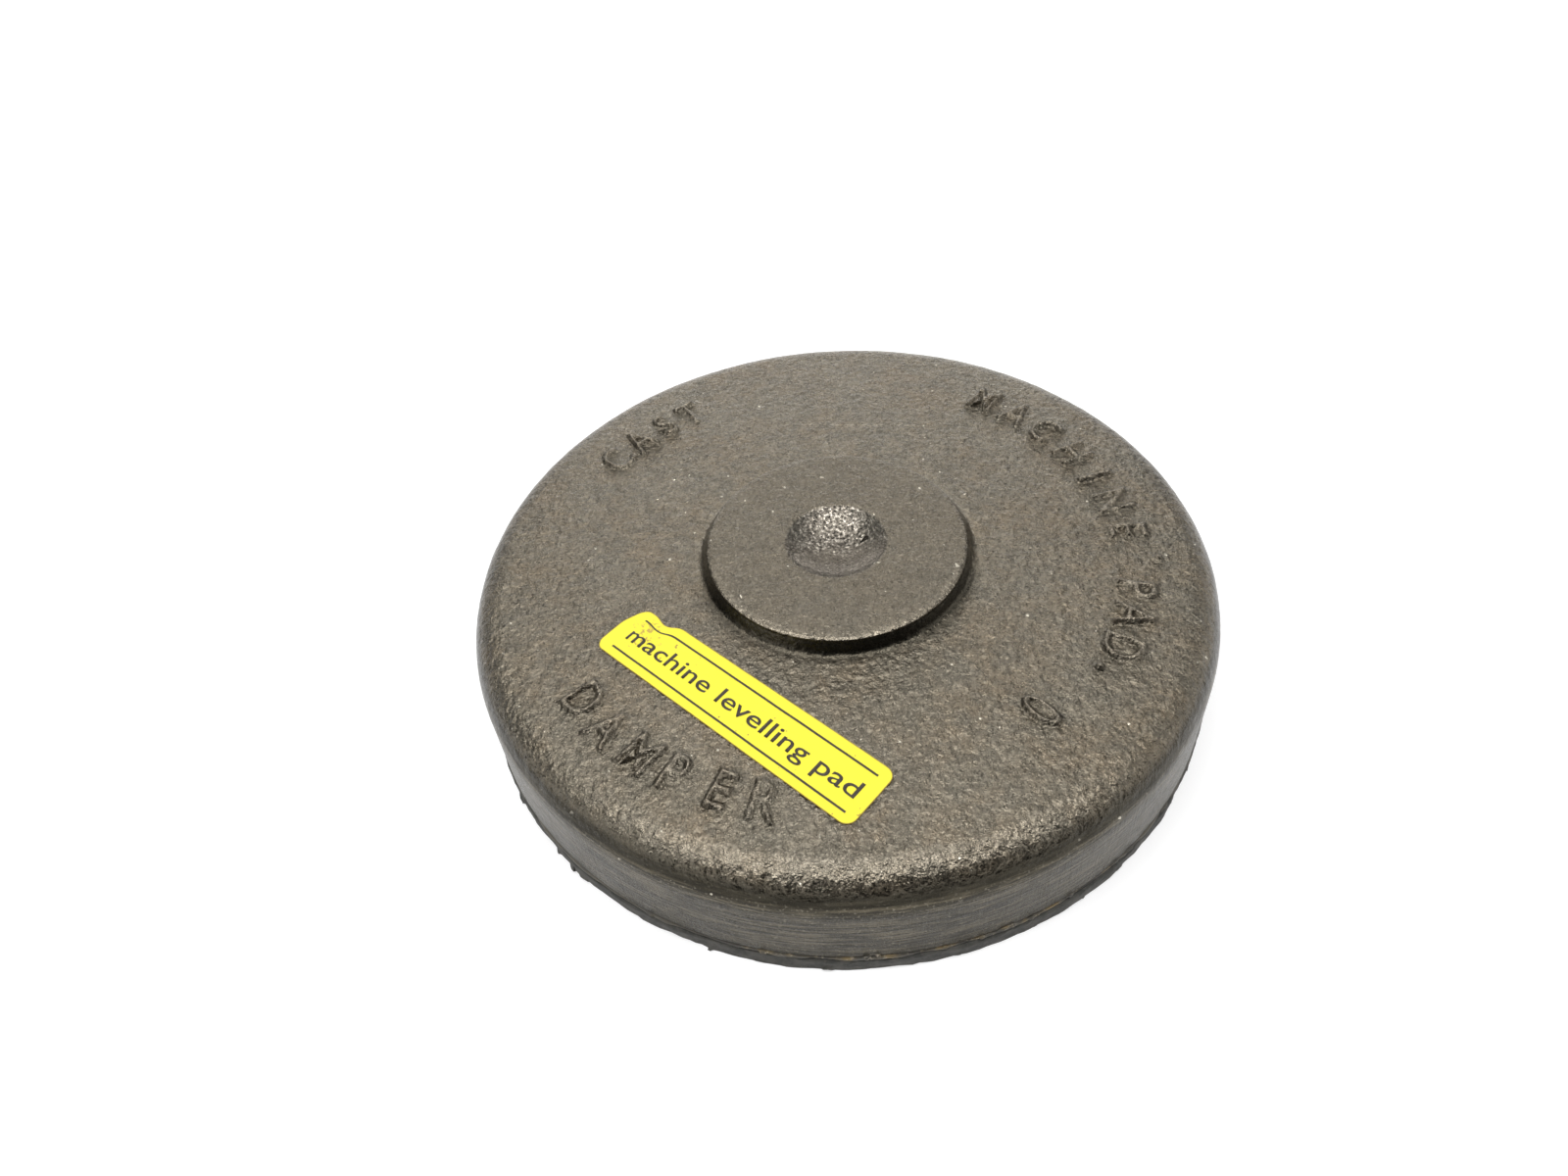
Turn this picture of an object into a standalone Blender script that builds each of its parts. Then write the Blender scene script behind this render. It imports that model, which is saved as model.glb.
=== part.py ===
"""Machine levelling pad: a cast iron cap over a damping core, on a glued non-skid sole.

Blender 4.5, metres, +Z up. The origin is the centre of the sole's underside, where the pad meets the floor.
"""

import math

import bmesh
import bpy
from mathutils import Matrix

# Driving dimensions.
CAP_RADIUS = 0.0762  # six inch casting
TOP_HEIGHT = 0.0252  # flat top above the floor
RIM_ROUND = 0.0070
BOSS_RADIUS = 0.0270
BOSS_RISE = 0.0030
SOCKET_RADIUS = 0.0102
SOCKET_DEPTH = 0.0030
SEAT_RADIUS = 0.0020  # flat at the bottom of the socket
SOLE_RADIUS = 0.0772
SOLE_THICKNESS = 0.0033

# Gaps and wall thicknesses.
GAP = 0.0003  # between pieces that touch
GLUE_THICKNESS = 0.0003
TOP_THICKNESS = 0.0070
WALL_THICKNESS = 0.0050
DRAFT = 0.0006  # how far the side wall leans out towards its foot
STEPS = 64  # facets around a turned piece

# Heights that follow from them.
BOSS_TOP = TOP_HEIGHT + BOSS_RISE
GLUE_BOTTOM = SOLE_THICKNESS + GAP
GLUE_TOP = GLUE_BOTTOM + GLUE_THICKNESS
LIP_HEIGHT = GLUE_TOP + GAP
CEILING = TOP_HEIGHT - TOP_THICKNESS
FOOT_RADIUS = CAP_RADIUS + DRAFT
INNER_RADIUS = CAP_RADIUS - WALL_THICKNESS

# Inside of the cap: a thick hub under the socket, and a ring that keys into the core.
HUB_RADIUS = 0.0200
HUB_DROP = 0.0024
KEY_RADIUS = 0.0460
KEY_WIDTH = 0.0050
KEY_DROP = 0.0030
CORNER_ROUND = 0.0020

# Edge rounds of the cap.
SOCKET_LIP = 0.0004
BOSS_EDGE = 0.0007
BOSS_SLOPE = 0.0012  # how far the boss wall leans out
BOSS_FILLET = 0.0022
LIP_ROUND = 0.0006

# Sole tread.
TREAD_DEPTH = 0.0014
TREAD_GROOVE = 0.0030
TREAD_FIRST = 0.0180  # radius of the innermost ring groove
TREAD_PITCH = 0.0160
TREAD_RINGS = 4
TREAD_LAST = TREAD_FIRST + (TREAD_RINGS - 1) * TREAD_PITCH
CHANNEL_COUNT = 8  # radial channels between the innermost and the outermost ring
SOLE_EDGE = 0.0005

# Label on the flat top.
LABEL_LENGTH = 0.0643
LABEL_WIDTH = 0.0133
LABEL_THICKNESS = 0.00015
LABEL_CORNER = 0.0022
LABEL_ANGLE = math.radians(-41.1)
LABEL_CENTRE = (-0.0200, -0.0380)

# Raised foundry lettering, on arcs about the centre.
LETTER_HEIGHT = 0.0080
LETTER_RISE = 0.0008
LETTER_SINK = 0.0010  # how deep a letter block starts below the flat top
LETTER_RADIUS = 0.0597
LETTER_NARROW = 0.80
FONT_CAP_HEIGHT = 0.73  # height of a capital at text size 1

# (text, angle of its first letter in degrees, step to the next, letter tops point outwards)
LETTER_ARCS = (
    ("CAST", 146.5, -7.3, True),
    ("MACHINE", 52.3, -8.5, True),
    ("PAD", -14.5, -7.5, True),
    ("DAMPER", -143.0, 7.8, False),
)

# The pattern's number, and the raised dots that end the two words on the right, as (radius, angle).
DIGIT = "8"
DIGIT_RADIUS = 0.0585
DIGIT_ANGLE = -50.0
DOT_RADIUS = 0.0009
DOTS = ((0.0640, -6.3), (0.0573, -35.5))


def clear_scene():
    for obj in list(bpy.data.objects):
        bpy.data.objects.remove(obj)
    for collection in list(bpy.data.collections):
        bpy.data.collections.remove(collection)


def new_collection(name):
    collection = bpy.data.collections.new(name)
    bpy.context.scene.collection.children.link(collection)
    return collection


def material(name, colour, roughness, metallic=0.0):
    made = bpy.data.materials.new(name)
    made.use_nodes = True
    shader = made.node_tree.nodes["Principled BSDF"]
    shader.inputs["Base Color"].default_value = (*colour, 1.0)
    shader.inputs["Roughness"].default_value = roughness
    shader.inputs["Metallic"].default_value = metallic
    return made


def arc(radius, height, size, start, end, count):
    """Points of an arc in a profile, its angles in degrees from straight out towards straight up."""
    points = []
    for i in range(count + 1):
        angle = math.radians(start + (end - start) * i / count)
        points.append((radius + size * math.cos(angle), height + size * math.sin(angle)))
    return points


def turned(name, profile, collection, finish, closed=False):
    """A profile of (radius, height) points turned about Z. A closed profile makes a ring."""
    mesh = bpy.data.meshes.new(name)
    count = len(profile)
    edges = [(i, i + 1) for i in range(count - 1)]
    if closed:
        edges.append((count - 1, 0))
    mesh.from_pydata([(radius, 0.0, height) for radius, height in profile], edges, [])
    obj = bpy.data.objects.new(name, mesh)
    collection.objects.link(obj)
    obj.data.materials.append(finish)
    screw = obj.modifiers.new("Turn", "SCREW")
    screw.steps = STEPS
    screw.render_steps = STEPS
    screw.use_merge_vertices = True
    screw.merge_threshold = 0.00001
    screw.use_smooth_shade = True
    return obj


def add_boolean(obj, cutter, operation):
    modifier = obj.modifiers.new(operation.title(), "BOOLEAN")
    modifier.operation = operation
    modifier.object = cutter
    cutter.hide_render = True
    cutter.display_type = "WIRE"


def socket_profile():
    """Bowl of the levelling screw's socket, from the flat seat out to the lip."""
    rise = SOCKET_DEPTH - SOCKET_LIP
    run = SOCKET_RADIUS - SEAT_RADIUS
    bowl = (run * run + rise * rise) / (2 * rise)
    steepest = math.degrees(math.asin(run / bowl))
    floor = BOSS_TOP - SOCKET_DEPTH
    points = [(0.0, floor)]
    points += arc(SEAT_RADIUS, floor + bowl, bowl, -90, -90 + steepest, 6)
    points.append((SOCKET_RADIUS + SOCKET_LIP, BOSS_TOP))
    return points


def cap_profile():
    outer = socket_profile()
    outer += arc(BOSS_RADIUS - BOSS_EDGE, BOSS_TOP - BOSS_EDGE, BOSS_EDGE, 90, 15, 3)
    fillet_centre = BOSS_RADIUS + BOSS_SLOPE + BOSS_FILLET
    outer += arc(fillet_centre, TOP_HEIGHT + BOSS_FILLET, BOSS_FILLET, 195, 270, 4)
    outer += arc(CAP_RADIUS - RIM_ROUND, TOP_HEIGHT - RIM_ROUND, RIM_ROUND, 90, 0, 8)
    outer += arc(FOOT_RADIUS - LIP_ROUND, LIP_HEIGHT + LIP_ROUND, LIP_ROUND, 0, -90, 2)
    inner = [(INNER_RADIUS, LIP_HEIGHT)]
    inner += arc(INNER_RADIUS - CORNER_ROUND, CEILING - CORNER_ROUND, CORNER_ROUND, 0, 90, 3)
    key_outer = KEY_RADIUS + KEY_WIDTH / 2
    key_inner = KEY_RADIUS - KEY_WIDTH / 2
    inner += [(key_outer, CEILING), (key_outer, CEILING - KEY_DROP)]
    inner += [(key_inner, CEILING - KEY_DROP), (key_inner, CEILING)]
    inner += [(HUB_RADIUS + HUB_DROP, CEILING), (HUB_RADIUS, CEILING - HUB_DROP)]
    inner.append((0.0, CEILING - HUB_DROP))
    return outer + inner


def core_profile():
    """Elastomer block that fills the cap with one gap all round."""
    top = CEILING - GAP
    corner = CORNER_ROUND
    radius = INNER_RADIUS - GAP
    slot_outer = KEY_RADIUS + KEY_WIDTH / 2 + GAP
    slot_inner = KEY_RADIUS - KEY_WIDTH / 2 - GAP
    points = [(0.0, top - HUB_DROP), (HUB_RADIUS + GAP, top - HUB_DROP)]
    points += [(HUB_RADIUS + HUB_DROP + GAP, top), (slot_inner, top)]
    points += [(slot_inner, top - KEY_DROP), (slot_outer, top - KEY_DROP), (slot_outer, top)]
    points += arc(radius - corner, top - corner, corner, 90, 0, 3)
    points += [(radius, GLUE_BOTTOM), (0.0, GLUE_BOTTOM)]
    return points


def sole_profile():
    """Non-skid sheet with ring grooves in its underside."""
    points = [(0.0, SOLE_THICKNESS)]
    points += arc(SOLE_RADIUS - SOLE_EDGE, SOLE_THICKNESS - SOLE_EDGE, SOLE_EDGE, 90, 0, 2)
    points.append((SOLE_RADIUS, 0.0))
    for ring in reversed(range(TREAD_RINGS)):
        middle = TREAD_FIRST + ring * TREAD_PITCH
        outer = middle + TREAD_GROOVE / 2
        inner = middle - TREAD_GROOVE / 2
        points += [(outer, 0.0), (outer, TREAD_DEPTH), (inner, TREAD_DEPTH), (inner, 0.0)]
    points.append((0.0, 0.0))
    return points


def glue_profile():
    outer = FOOT_RADIUS - GAP
    inner = INNER_RADIUS
    return [(inner, GLUE_TOP), (outer, GLUE_TOP), (outer, GLUE_BOTTOM), (inner, GLUE_BOTTOM)]


def channel_cutter(collection):
    """Radial channels of the tread, joined in one cutter."""
    shape = bmesh.new()
    length = TREAD_LAST - TREAD_FIRST
    middle = (TREAD_LAST + TREAD_FIRST) / 2
    depth = TREAD_DEPTH + GAP
    for i in range(CHANNEL_COUNT):
        size = Matrix.Diagonal((length, TREAD_GROOVE, depth, 1.0))
        place = Matrix.Translation((middle, 0.0, TREAD_DEPTH - depth / 2))
        turn = Matrix.Rotation(math.tau * (i + 0.5) / CHANNEL_COUNT, 4, "Z")
        bmesh.ops.create_cube(shape, size=1.0, matrix=turn @ place @ size)
    mesh = bpy.data.meshes.new("channels")
    shape.to_mesh(mesh)
    shape.free()
    cutter = bpy.data.objects.new("channels", mesh)
    collection.objects.link(cutter)
    return cutter


def letter_block(text, radius, degrees, outwards, collection):
    """One raised letter, standing across the flat top at this radius and angle."""
    curve = bpy.data.curves.new("letter", "FONT")
    curve.body = text
    curve.align_x = "CENTER"
    curve.size = LETTER_HEIGHT / FONT_CAP_HEIGHT
    curve.extrude = (LETTER_RISE + LETTER_SINK) / 2
    curve.resolution_u = 2
    font = bpy.data.objects.new("letter", curve)
    collection.objects.link(font)
    bpy.context.view_layer.update()
    graph = bpy.context.evaluated_depsgraph_get()
    mesh = bpy.data.meshes.new_from_object(font.evaluated_get(graph))
    bpy.data.objects.remove(font)
    turn = degrees - 90 if outwards else degrees + 90
    foot = radius - LETTER_HEIGHT / 2 if outwards else radius + LETTER_HEIGHT / 2
    angle = math.radians(degrees)
    height = TOP_HEIGHT + (LETTER_RISE - LETTER_SINK) / 2
    place = Matrix.Translation((foot * math.cos(angle), foot * math.sin(angle), height))
    spin = Matrix.Rotation(math.radians(turn), 4, "Z")
    mesh.transform(place @ spin @ Matrix.Diagonal((LETTER_NARROW, 1.0, 1.0, 1.0)))
    shape = bmesh.new()
    shape.from_mesh(mesh)
    bmesh.ops.remove_doubles(shape, verts=shape.verts, dist=0.00001)
    bmesh.ops.recalc_face_normals(shape, faces=shape.faces)
    shape.to_mesh(mesh)
    shape.free()
    return mesh


def add_lettering(cap, collection):
    """All the letters as one helper, joined to the cap in one go."""
    shape = bmesh.new()
    for text, first, step, outwards in LETTER_ARCS:
        for i, letter in enumerate(text):
            degrees = first + i * step
            shape.from_mesh(letter_block(letter, LETTER_RADIUS, degrees, outwards, collection))
    shape.from_mesh(letter_block(DIGIT, DIGIT_RADIUS, DIGIT_ANGLE, False, collection))
    depth = LETTER_RISE + LETTER_SINK
    middle = TOP_HEIGHT + (LETTER_RISE - LETTER_SINK) / 2
    for radius, degrees in DOTS:
        turn = Matrix.Rotation(math.radians(degrees), 4, "Z")
        place = turn @ Matrix.Translation((radius, 0.0, middle))
        size = {"segments": 10, "radius1": DOT_RADIUS, "radius2": DOT_RADIUS, "depth": depth}
        bmesh.ops.create_cone(shape, cap_ends=True, matrix=place, **size)
    mesh = bpy.data.meshes.new("lettering")
    shape.to_mesh(mesh)
    shape.free()
    lettering = bpy.data.objects.new("lettering", mesh)
    collection.objects.link(lettering)
    add_boolean(cap, lettering, "UNION")


def make_label(collection, finish):
    """Rounded rectangle, lying along its own angle on the flat top."""
    outline = []
    for corner, (side_x, side_y) in enumerate(((1, 1), (-1, 1), (-1, -1), (1, -1))):
        centre_x = side_x * (LABEL_LENGTH / 2 - LABEL_CORNER)
        centre_y = side_y * (LABEL_WIDTH / 2 - LABEL_CORNER)
        outline += arc(centre_x, centre_y, LABEL_CORNER, corner * 90, corner * 90 + 90, 5)
    curve = bpy.data.curves.new("label", "CURVE")
    curve.dimensions = "2D"
    curve.fill_mode = "BOTH"
    curve.extrude = LABEL_THICKNESS / 2
    spline = curve.splines.new("POLY")
    spline.points.add(len(outline) - 1)
    for point, (x, y) in zip(spline.points, outline):
        point.co = (x, y, 0.0, 1.0)
    spline.use_cyclic_u = True
    curve.materials.append(finish)
    label = bpy.data.objects.new("label", curve)
    label.location = (*LABEL_CENTRE, TOP_HEIGHT + GAP + LABEL_THICKNESS / 2)
    label.rotation_euler = (0.0, 0.0, LABEL_ANGLE)
    collection.objects.link(label)


def main():
    clear_scene()
    parts = new_collection("machine_levelling_pad")
    cutters = new_collection("cutters")
    iron = material("cast_iron", (0.19, 0.17, 0.14), 0.55, 0.6)
    rubber = material("core_rubber", (0.03, 0.03, 0.03), 0.8)
    sheet = material("sole_rubber", (0.05, 0.05, 0.05), 0.75)
    glue = material("glue", (0.35, 0.26, 0.10), 0.5)
    vinyl = material("label_vinyl", (0.95, 0.85, 0.06), 0.4)

    cap = turned("cap_casting", cap_profile(), parts, iron)
    add_lettering(cap, cutters)
    turned("damping_core", core_profile(), parts, rubber)
    turned("glue_line", glue_profile(), parts, glue, closed=True)
    sole = turned("nonskid_sole", sole_profile(), parts, sheet)
    add_boolean(sole, channel_cutter(cutters), "DIFFERENCE")
    make_label(parts, vinyl)


main()
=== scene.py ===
import math
import random

import bmesh
import bpy
from mathutils import Euler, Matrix, Vector, kdtree, noise
from mathutils.bvhtree import BVHTree


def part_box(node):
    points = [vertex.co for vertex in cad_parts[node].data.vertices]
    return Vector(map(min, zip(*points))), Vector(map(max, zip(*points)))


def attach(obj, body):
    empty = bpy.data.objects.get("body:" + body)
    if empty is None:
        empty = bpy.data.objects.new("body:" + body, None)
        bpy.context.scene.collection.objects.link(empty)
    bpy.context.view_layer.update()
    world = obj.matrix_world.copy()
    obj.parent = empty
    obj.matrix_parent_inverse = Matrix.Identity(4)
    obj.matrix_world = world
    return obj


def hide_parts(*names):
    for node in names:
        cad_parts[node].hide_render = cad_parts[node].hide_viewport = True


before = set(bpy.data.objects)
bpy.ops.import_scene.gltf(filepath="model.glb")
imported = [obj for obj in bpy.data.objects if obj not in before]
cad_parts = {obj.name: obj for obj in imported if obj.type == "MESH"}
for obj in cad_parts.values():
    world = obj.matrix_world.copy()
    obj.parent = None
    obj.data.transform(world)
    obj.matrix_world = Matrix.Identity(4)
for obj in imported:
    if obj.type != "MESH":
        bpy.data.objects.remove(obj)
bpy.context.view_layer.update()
mm = 0.001


class Wire:
    # a socket that can be used in sums
    def __init__(self, shade, socket):
        self.shade = shade
        self.socket = socket

    def maths(self, operation, first, second):
        return self.shade.node("Math", {"operation": operation}, {0: first, 1: second})

    def __add__(self, other):
        return self.maths("ADD", self, other)

    def __radd__(self, other):
        return self.maths("ADD", other, self)

    def __sub__(self, other):
        return self.maths("SUBTRACT", self, other)

    def __rsub__(self, other):
        return self.maths("SUBTRACT", other, self)

    def __mul__(self, other):
        return self.maths("MULTIPLY", self, other)

    def __rmul__(self, other):
        return self.maths("MULTIPLY", other, self)

    def __pow__(self, other):
        return self.maths("POWER", self, other)

    def __abs__(self):
        return self.maths("ABSOLUTE", self, 0.0)


class Shade:
    # one material and the nodes in it
    def __init__(self, name):
        self.material = bpy.data.materials.new(name)
        self.material.use_nodes = True
        self.tree = self.material.node_tree
        self.tree.nodes.clear()
        self.place = self.node("TexCoord", out="Object")

    def node(self, kind, settings=None, values=None, out=0):
        made = self.tree.nodes.new("ShaderNode" + kind)
        for name, value in (settings or {}).items():
            setattr(made, name, value)
        for name, value in (values or {}).items():
            if isinstance(value, Wire):
                self.tree.links.new(value.socket, made.inputs[name])
            else:
                made.inputs[name].default_value = value
        return Wire(self, made.outputs[out]) if made.outputs else made

    def split(self):
        parts = self.tree.nodes.new("ShaderNodeSeparateXYZ")
        self.tree.links.new(self.place.socket, parts.inputs[0])
        return [Wire(self, out) for out in parts.outputs]

    def attribute(self, name):
        return self.node("Attribute", {"attribute_name": name}, out="Fac")

    def stretched(self, x, y, z):
        return self.node("Mapping", None, {"Vector": self.place, "Scale": (x, y, z)})

    def noise(self, size, detail=2.0, rough=0.5, vector=None, seed=0.0):
        # size is the width of one lump, in metres
        values = {"Vector": vector or self.place, "W": seed, "Scale": 1 / size}
        values.update({"Detail": detail, "Roughness": rough})
        return self.node("TexNoise", {"noise_dimensions": "4D"}, values)

    def step(self, value, low, high, start=0.0, end=1.0):
        # smooth rise of value from low to high
        values = {"Value": value, "From Min": low, "From Max": high, "To Min": start, "To Max": end}
        return self.node("MapRange", {"interpolation_type": "SMOOTHSTEP"}, values)

    def mix(self, factor, first, second):
        colours = [c if isinstance(c, Wire) else (*c, 1.0) for c in (first, second)]
        # inputs 6 and 7 and output 2 are the node's colour sockets
        return self.node("Mix", {"data_type": "RGBA"}, {0: factor, 6: colours[0], 7: colours[1]}, out=2)

    def bump(self, height, distance, strength=1.0, under=None):
        values = {"Height": height, "Distance": distance, "Strength": strength}
        if under:
            values["Normal"] = under
        return self.node("Bump", None, values)

    def finish(self, colour, roughness, normal=None, metallic=0.0, **extra):
        values = {"Base Color": colour, "Roughness": roughness, "Metallic": metallic}
        values.update(extra)
        if normal:
            values["Normal"] = normal
        surface = self.node("BsdfPrincipled", None, values)
        self.node("OutputMaterial", None, {"Surface": surface})
        return self.material


def deselectAll():
    bpy.ops.object.select_all(action="DESELECT")


def named(name):
    piece = bpy.context.object
    piece.name = name
    piece.data.name = name
    return piece


def activate(piece):
    deselectAll()
    piece.select_set(True)
    bpy.context.view_layer.objects.active = piece


def settle(piece):
    activate(piece)
    bpy.ops.object.transform_apply(location=True, rotation=True, scale=True)


def chain(outline):
    # one vertex at the outline's first (radius, height), drawn out point by point
    deselectAll()
    radius, height = outline[0]
    bpy.ops.mesh.primitive_plane_add(size=mm, location=(radius, 0, height))
    settle(bpy.context.object)
    bpy.ops.object.mode_set(mode="EDIT")
    bpy.ops.mesh.select_mode(type="VERT")
    bpy.ops.mesh.merge(type="CENTER")
    for (r0, z0), (r1, z1) in zip(outline, outline[1:]):
        bpy.ops.mesh.extrude_vertices_move(TRANSFORM_OT_translate={"value": (r1 - r0, 0, z1 - z0)})


def merged(piece, gap):
    # points closer than the gap become one
    activate(piece)
    bpy.ops.object.mode_set(mode="EDIT")
    bpy.ops.mesh.select_all(action="SELECT")
    bpy.ops.mesh.remove_doubles(threshold=gap)
    bpy.ops.object.mode_set(mode="OBJECT")


def turned(name, outline, steps):
    # the outline spun round Z, its poles and its seam merged
    chain(outline)
    bpy.ops.mesh.select_all(action="SELECT")
    bpy.ops.mesh.spin(steps=steps, angle=math.tau, center=(0, 0, 0), axis=(0, 0, 1))
    bpy.ops.object.mode_set(mode="OBJECT")
    piece = named(name)
    merged(piece, 0.01 * mm)
    return piece


def joined(name, pieces):
    deselectAll()
    for piece in pieces:
        piece.select_set(True)
    bpy.context.view_layer.objects.active = pieces[0]
    bpy.ops.object.join()
    return named(name)


def facesOut(piece):
    activate(piece)
    bpy.ops.object.mode_set(mode="EDIT")
    bpy.ops.mesh.select_all(action="SELECT")
    bpy.ops.mesh.normals_make_consistent(inside=False)
    bpy.ops.object.mode_set(mode="OBJECT")


def smoothShaded(piece, angle=40):
    activate(piece)
    bpy.ops.object.shade_smooth_by_angle(angle=math.radians(angle))


def applied(piece, kind, **settings):
    # adds a modifier, sets it and applies it
    activate(piece)
    modifier = piece.modifiers.new(kind.title(), kind)
    for name, value in settings.items():
        setattr(modifier, name, value)
    bpy.ops.object.modifier_apply(modifier=modifier.name)


def roughened(piece, size, strength, group=""):
    # pushed in and out along the normals by cloud noise
    clouds = bpy.data.textures.new("clouds", "CLOUDS")
    clouds.noise_scale = size
    clouds.noise_depth = 1
    applied(piece, "DISPLACE", texture=clouds, texture_coords="LOCAL", strength=strength,
            mid_level=0.5, vertex_group=group, direction="NORMAL")


def weighted(piece, name, weights):
    # a vertex group from {index: weight}
    group = piece.vertex_groups.new(name=name)
    for index, weight in weights.items():
        group.add([index], weight, "REPLACE")


def selectFaces(piece, wanted):
    # leaves the piece in edit mode with the wanted faces selected
    activate(piece)
    bpy.ops.object.mode_set(mode="EDIT")
    bpy.ops.mesh.select_mode(type="FACE")
    shape = bmesh.from_edit_mesh(piece.data)
    found = False
    for face in shape.faces:
        face.select_set(bool(wanted(face)))
        found = found or face.select
    bmesh.update_edit_mesh(piece.data)
    return found


def arc(radius, height, size, start, end, count):
    # arc points of an outline; angles in degrees from straight out to straight up
    angles = [math.radians(start + (end - start) * i / count) for i in range(count + 1)]
    return [(radius + size * math.cos(a), height + size * math.sin(a)) for a in angles]


def runs(points, pitch):
    # an outline with its long stretches cut to about one pitch
    dense = [points[0]]
    for (r0, z0), (r1, z1) in zip(points, points[1:]):
        count = max(1, round(math.hypot(r1 - r0, z1 - z0) / pitch))
        dense += [(r0 + (r1 - r0) * i / count, z0 + (z1 - z0) * i / count) for i in range(1, count + 1)]
    return dense


def smooth(value, low, high):
    share = min(1.0, max(0.0, (value - low) / (high - low)))
    return share * share * (3 - 2 * share)


view = {
    "lens": 22.5,
    "sensor": 36.0,
    "place": (0.0, -0.14290, 0.16998),
    "turn": (42.455, 4.191, 0.110),
}
studio = {
    # panels of light: azimuth and elevation in degrees, distance, width, height, radiance
    "panels": {
        "overhead": (-90, 87, 1.0, 1.12, 0.20, 10.6),
        "overheadNear": (-90, 70, 1.0, 0.90, 0.34, 1.5),
        "overheadFar": (90, 58, 1.0, 1.0, 0.22, 2.6),
        "backHigh": (90, 45, 1.1, 1.1, 0.25, 1.85),
        "backLow": (90, 12, 1.3, 1.5, 0.30, 4.3),
        "backLeft": (135, 25, 1.1, 0.8, 0.5, 0.65),
        "backRight": (45, 25, 1.1, 0.8, 0.5, 0.45),
        "right": (0, 25, 1.1, 1.0, 0.6, 1.7),
        "leftHigh": (180, 55, 1.0, 0.9, 0.4, 2.2),
        "leftFront": (-145, 20, 1.1, 0.7, 0.5, 1.9),
    },
    "ambient": 0.01,
    "floorSize": 12.0,
    "floorDrop": 0.05 * mm,
    "floorShade": 0.50,
    "floorGlow": 0.58,
    "floorFade": (0.9, 2.5),  # it runs out into plain white between these distances
}


def makeCamera():
    data = bpy.data.cameras.new("camera")
    data.lens = view["lens"]
    data.sensor_width = view["sensor"]
    data.clip_start = 0.01
    camera = bpy.data.objects.new("camera", data)
    camera.location = view["place"]
    camera.rotation_euler = [math.radians(a) for a in view["turn"]]
    bpy.context.scene.collection.objects.link(camera)
    bpy.context.scene.camera = camera


def panelLight(name):
    azimuth, elevation, distance, width, height, radiance = studio["panels"][name]
    data = bpy.data.lights.new(name, "AREA")
    data.shape = "RECTANGLE"
    data.size, data.size_y = width, height
    data.energy = math.pi * width * height * radiance
    light = bpy.data.objects.new(name, data)
    turn = Euler((0, math.radians(-elevation), math.radians(azimuth)))
    away = turn.to_matrix() @ Vector((1, 0, 0))
    light.location = away * distance
    light.rotation_euler = away.to_track_quat("Z", "Y").to_euler()
    bpy.context.scene.collection.objects.link(light)


def floorFinish():
    shade = Shade("floorPaper")
    x, y, _ = shade.split()
    tone, glow = studio["floorShade"], studio["floorGlow"]
    colour = shade.mix(shade.noise(0.3, 2.0), [tone] * 3, [tone * 0.99] * 3)
    far = shade.step((x * x + y * y) ** 0.5, *studio["floorFade"])
    light = shade.mix(far, [glow] * 3, (1.0, 1.0, 1.0))
    return shade.finish(colour, 0.9, **{"Emission Color": light, "Emission Strength": 1.0})


def makeFloor():
    deselectAll()
    bpy.ops.mesh.primitive_plane_add(size=studio["floorSize"], location=(0, 0, -studio["floorDrop"]))
    floor = named("floor")
    floor.data.materials.append(floorFinish())


def makeWorld():
    # the camera sees plain white, the object a faint warm glow; colours are shown without a look
    world = bpy.data.worlds.new("studio")
    bpy.context.scene.world = world
    world.use_nodes = True
    nodes, links = world.node_tree.nodes, world.node_tree.links
    nodes.clear()
    seen = nodes.new("ShaderNodeBackground")
    lit = nodes.new("ShaderNodeBackground")
    seen.inputs["Color"].default_value = (1, 1, 1, 1)
    lit.inputs["Color"].default_value = (1.0, 0.97, 0.93, 1)
    lit.inputs["Strength"].default_value = studio["ambient"]
    path = nodes.new("ShaderNodeLightPath")
    either = nodes.new("ShaderNodeMixShader")
    output = nodes.new("ShaderNodeOutputWorld")
    links.new(path.outputs["Is Camera Ray"], either.inputs[0])
    links.new(lit.outputs[0], either.inputs[1])
    links.new(seen.outputs[0], either.inputs[2])
    links.new(either.outputs[0], output.inputs[0])
    bpy.context.scene.view_settings.view_transform = "Standard"
    bpy.context.scene.view_settings.look = "None"


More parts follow.
